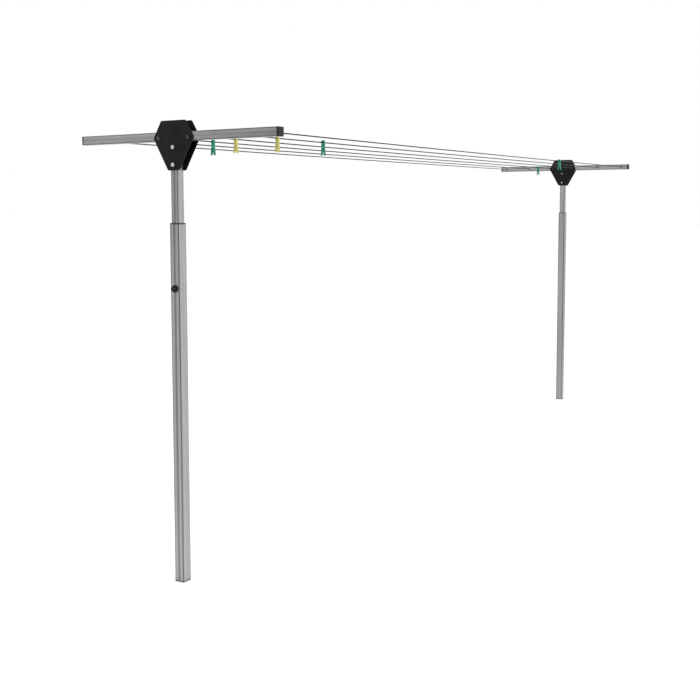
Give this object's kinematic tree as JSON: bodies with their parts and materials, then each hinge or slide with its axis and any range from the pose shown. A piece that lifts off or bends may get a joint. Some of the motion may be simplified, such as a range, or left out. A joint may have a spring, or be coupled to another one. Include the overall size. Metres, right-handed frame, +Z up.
{
  "type": "clothesline",
  "caption": "Garden clothesline: telescopic square steel T posts with black head plates, taut lines between the crossbars and plastic pegs",
  "frame": {"origin": "on the ground, midway between the two posts", "axes": "+X along the crossbars, +Y along the lines from the front post to the rear post, +Z up"},
  "size_m": [1.098, 5.092, 2.041],
  "materials": {
    "galvanised_tube": "satin",
    "black_powder_coat": "satin",
    "zinc_fastener": "satin",
    "black_fastener": "satin",
    "black_plastic": "matte",
    "line_cord": "matte",
    "green_peg_plastic": "satin",
    "yellow_peg_plastic": "satin"
  },
  "bodies": {
    "ground_posts": {"front_ground_post": "galvanised_tube", "front_foot_cap": "black_plastic", "front_collar": "black_plastic", "front_clamp_insert": "zinc_fastener", "rear_ground_post": "galvanised_tube", "rear_foot_cap": "black_plastic", "rear_collar": "black_plastic", "rear_clamp_insert": "zinc_fastener"},
    "front_head": {"front_mast": "galvanised_tube", "front_mast_foot_bush": "black_plastic", "front_outer_head_plate": "black_powder_coat", "front_inner_head_plate": "black_powder_coat", "front_crossbar": "galvanised_tube", "front_left_end_cap": "black_plastic", "front_right_end_cap": "black_plastic", "front_mast_bolts": "zinc_fastener", "front_mast_bolt_nuts": "black_fastener", "front_bar_bolts": "black_fastener", "front_bar_bolt_nuts": "black_fastener", "front_line_grommets": "black_plastic", "front_line_stops": "zinc_fastener", "line_1": "line_cord", "line_2": "line_cord", "line_3": "line_cord", "line_4": "line_cord", "line_5": "line_cord", "line_6": "line_cord", "peg_1_fixed_half": "green_peg_plastic", "peg_2_fixed_half": "yellow_peg_plastic", "peg_3_fixed_half": "yellow_peg_plastic", "peg_4_fixed_half": "green_peg_plastic", "peg_5_fixed_half": "green_peg_plastic", "peg_6_fixed_half": "green_peg_plastic", "peg_springs": "zinc_fastener"},
    "rear_head": {"rear_mast": "galvanised_tube", "rear_mast_foot_bush": "black_plastic", "rear_outer_head_plate": "black_powder_coat", "rear_inner_head_plate": "black_powder_coat", "rear_crossbar": "galvanised_tube", "rear_left_end_cap": "black_plastic", "rear_right_end_cap": "black_plastic", "rear_mast_bolts": "zinc_fastener", "rear_mast_bolt_nuts": "black_fastener", "rear_bar_bolts": "black_fastener", "rear_bar_bolt_nuts": "black_fastener", "rear_line_grommets": "black_plastic", "rear_line_stops": "zinc_fastener"},
    "front_clamp_pad": {"front_brake_pad": "black_plastic"},
    "front_clamp_screw": {"front_clamp_knob": "black_plastic"},
    "rear_clamp_pad": {"rear_brake_pad": "black_plastic"},
    "rear_clamp_screw": {"rear_clamp_knob": "black_plastic"},
    "peg_1_jaw": {"peg_1_moving_half": "green_peg_plastic"},
    "peg_2_jaw": {"peg_2_moving_half": "yellow_peg_plastic"},
    "peg_3_jaw": {"peg_3_moving_half": "yellow_peg_plastic"},
    "peg_4_jaw": {"peg_4_moving_half": "green_peg_plastic"},
    "peg_5_jaw": {"peg_5_moving_half": "green_peg_plastic"},
    "peg_6_jaw": {"peg_6_moving_half": "green_peg_plastic"}
  },
  "joints": [
    {"name": "front_height", "type": "slide", "parent": "ground_posts", "child": "front_head", "axis": [0, 0, 1], "range_m": [-0.2, 0.2]},
    {"name": "front_clamp_travel", "type": "slide", "parent": "ground_posts", "child": "front_clamp_pad", "axis": [0, -1, 0], "range_m": [0, 0.00398]},
    {"name": "front_clamp_turn", "type": "hinge", "parent": "front_clamp_pad", "child": "front_clamp_screw", "pos_m": [0, -2.5, 1.312], "axis": [0, -1, 0], "range_deg": [0, 955]},
    {"name": "rear_height", "type": "slide", "parent": "ground_posts", "child": "rear_head", "axis": [0, 0, 1], "range_m": [-0.2, 0.2]},
    {"name": "rear_clamp_travel", "type": "slide", "parent": "ground_posts", "child": "rear_clamp_pad", "axis": [0, 1, 0], "range_m": [0, 0.00398]},
    {"name": "rear_clamp_turn", "type": "hinge", "parent": "rear_clamp_pad", "child": "rear_clamp_screw", "pos_m": [0, 2.5, 1.312], "axis": [0, 1, 0], "range_deg": [0, 955]},
    {"name": "peg_1_squeeze", "type": "hinge", "parent": "front_head", "child": "peg_1_jaw", "pos_m": [-0.099, -2.122, 1.948], "axis": [0, 1, 0], "range_deg": [0, 14], "stiffness_Nm_per_rad": 0.2},
    {"name": "peg_2_squeeze", "type": "hinge", "parent": "front_head", "child": "peg_2_jaw", "pos_m": [0.099, -2.207, 1.948], "axis": [0, 1, 0], "range_deg": [0, 14], "stiffness_Nm_per_rad": 0.2},
    {"name": "peg_3_squeeze", "type": "hinge", "parent": "front_head", "child": "peg_3_jaw", "pos_m": [0.297, -2.163, 1.948], "axis": [0, 1, 0], "range_deg": [0, 14], "stiffness_Nm_per_rad": 0.2},
    {"name": "peg_4_squeeze", "type": "hinge", "parent": "front_head", "child": "peg_4_jaw", "pos_m": [0.297, -1.781, 1.948], "axis": [0, 1, 0], "range_deg": [0, 14], "stiffness_Nm_per_rad": 0.2},
    {"name": "peg_5_squeeze", "type": "hinge", "parent": "front_head", "child": "peg_5_jaw", "pos_m": [-0.099, 2.169, 1.948], "axis": [0, 1, 0], "range_deg": [0, 14], "stiffness_Nm_per_rad": 0.2},
    {"name": "peg_6_squeeze", "type": "hinge", "parent": "front_head", "child": "peg_6_jaw", "pos_m": [0.495, 0.982, 1.948], "axis": [0, 1, 0], "range_deg": [0, 14], "stiffness_Nm_per_rad": 0.2}
  ],
  "couplings": [
    {"joint": "front_clamp_turn", "follows": "front_clamp_travel", "rad_per_m": 4188.8},
    {"joint": "rear_clamp_turn", "follows": "rear_clamp_travel", "rad_per_m": 4188.8},
    {"joint": "rear_height", "follows": "front_height", "ratio": 1}
  ]
}
